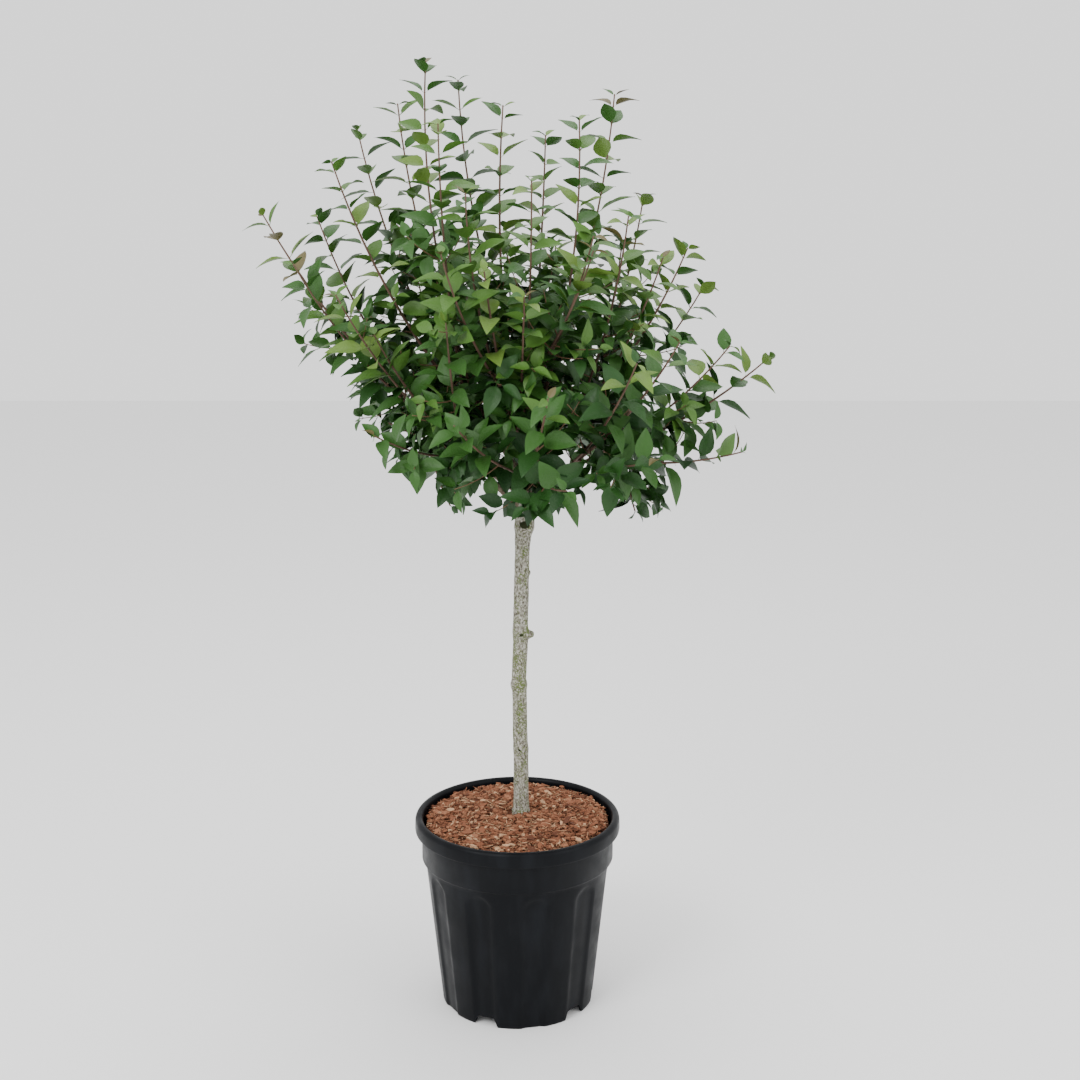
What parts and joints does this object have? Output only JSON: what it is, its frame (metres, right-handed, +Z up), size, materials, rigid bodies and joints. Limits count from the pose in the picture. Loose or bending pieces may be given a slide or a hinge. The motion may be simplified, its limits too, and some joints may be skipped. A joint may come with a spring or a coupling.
{
  "type": "potted lilac standard",
  "caption": "A lilac grafted as a standard: an airy crown of long leafy shoots on a bare pale stem, in a black fluted nursery pot topped with bark mulch.",
  "frame": {"origin": "The middle of the pot's underside, on the plane that the pot stands on.", "axes": "+Z is up along the stem, +X is to the right as the plant is seen from its front, and -Y is its front."},
  "size_m": [0.7953, 0.5939, 1.5217],
  "materials": {
    "pot_plastic": "satin black moulded plastic, lightly scuffed",
    "bark_mulch": "reddish-brown bark chips over the root ball",
    "trunk_bark": "pale grey bark with lichen",
    "bough_bark": "darker grey-brown bark",
    "foliage": "matt green leaves on purplish-brown twigs"
  },
  "bodies": {
    "root": {"pot": "pot_plastic", "soil": "bark_mulch", "trunk": "trunk_bark", "bough_left": "bough_bark", "bough_right": "bough_bark", "bough_front": "bough_bark", "bough_back": "bough_bark", "bough_front_left": "bough_bark", "bough_front_right": "bough_bark", "bough_back_left": "bough_bark", "bough_back_right": "bough_bark", "bough_top_left": "bough_bark", "bough_top_right": "bough_bark", "bough_top_front": "bough_bark", "bough_top_back": "bough_bark", "foliage_left": "foliage", "foliage_right": "foliage", "foliage_front": "foliage", "foliage_back": "foliage", "foliage_front_left": "foliage", "foliage_front_right": "foliage", "foliage_back_left": "foliage", "foliage_back_right": "foliage", "foliage_top_left": "foliage", "foliage_top_right": "foliage", "foliage_top_front": "foliage", "foliage_top_back": "foliage", "foliage_top": "foliage"}
  },
  "joints": []
}
